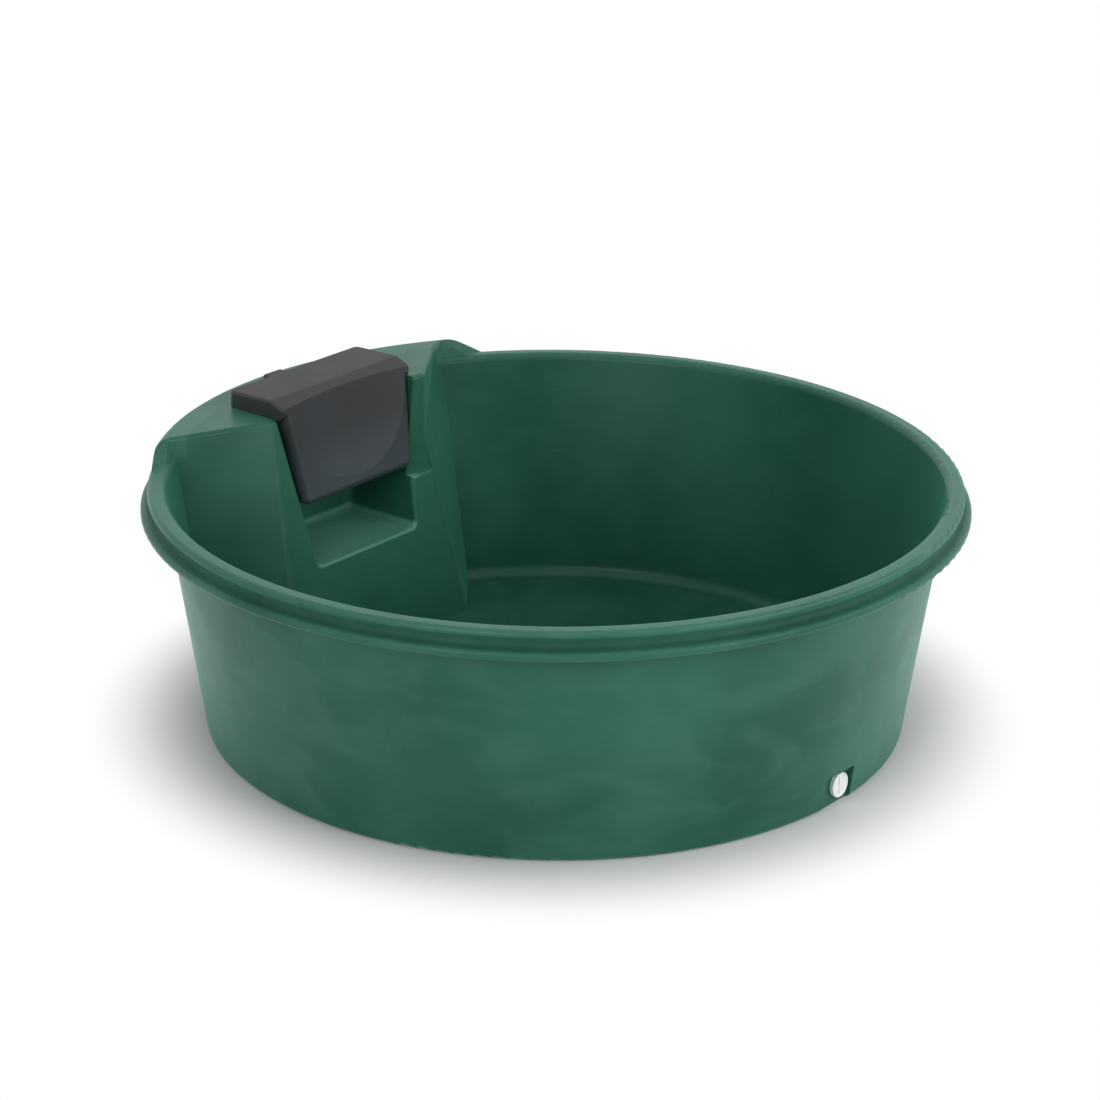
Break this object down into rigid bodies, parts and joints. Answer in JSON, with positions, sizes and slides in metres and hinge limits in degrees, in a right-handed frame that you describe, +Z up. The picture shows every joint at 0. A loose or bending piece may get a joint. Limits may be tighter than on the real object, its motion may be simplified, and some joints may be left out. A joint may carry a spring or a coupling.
{
  "type": "livestock drinking trough",
  "caption": "Round plastic livestock trough with a rolled rim, a built-in service box with a float valve under a lift-off cover, and a drain plug at its foot.",
  "frame": {"origin": "centre of the base, on the ground", "axes": "+Z up; +Y from the tub's centre to the service box and its water inlet, the drain lies at -Y; +X to the right seen from the basin's centre looking at the service box"},
  "size_m": [1.7699, 1.7699, 0.6213],
  "materials": {
    "tub_plastic": "satin rotomoulded polyethylene",
    "cover_plastic": "satin moulded plastic",
    "valve_brass": "cast and turned",
    "seat_nylon": "moulded",
    "cap_plastic": "moulded",
    "lever_steel": "drawn",
    "float_plastic": "blow-moulded",
    "seal_rubber": "moulded",
    "drain_plastic": "moulded"
  },
  "bodies": {
    "tub": {"tub_shell": "tub_plastic", "valve_body": "valve_brass", "valve_nozzle": "seat_nylon", "valve_end_cap": "cap_plastic", "lever_pin": "lever_steel", "valve_inner_washer": "seal_rubber", "valve_inner_nut": "valve_brass", "valve_outer_washer": "seal_rubber", "valve_outer_nut": "valve_brass", "drain_bush": "drain_plastic", "drain_seal_ring": "seal_rubber", "drain_ring_nut": "drain_plastic"},
    "lever": {"float_lever": "lever_steel", "float_ball": "float_plastic", "float_nut": "lever_steel"},
    "piston": {"valve_piston": "valve_brass", "piston_rubber": "seal_rubber"},
    "cover": {"service_cover": "cover_plastic"},
    "plug": {"drain_plug": "drain_plastic", "plug_seal_ring": "seal_rubber"}
  },
  "joints": [
    {"name": "float_swing", "type": "hinge", "parent": "tub", "child": "lever", "pos_m": [0, 0.724, 0.533], "axis": [-1, 0, 0], "range_deg": [0, 34]},
    {"name": "piston_slide", "type": "slide", "parent": "tub", "child": "piston", "axis": [0, 1, 0], "range_m": [0, 0.007]},
    {"name": "cover_lift", "type": "slide", "parent": "tub", "child": "cover", "axis": [0, 0, 1], "range_m": [0, 0.25]},
    {"name": "drain_pull", "type": "slide", "parent": "tub", "child": "plug", "axis": [0, -1, 0], "range_m": [0, 0.04]}
  ],
  "couplings": [
    {"joint": "piston_slide", "follows": "float_swing", "m_per_rad": 0.011796}
  ]
}
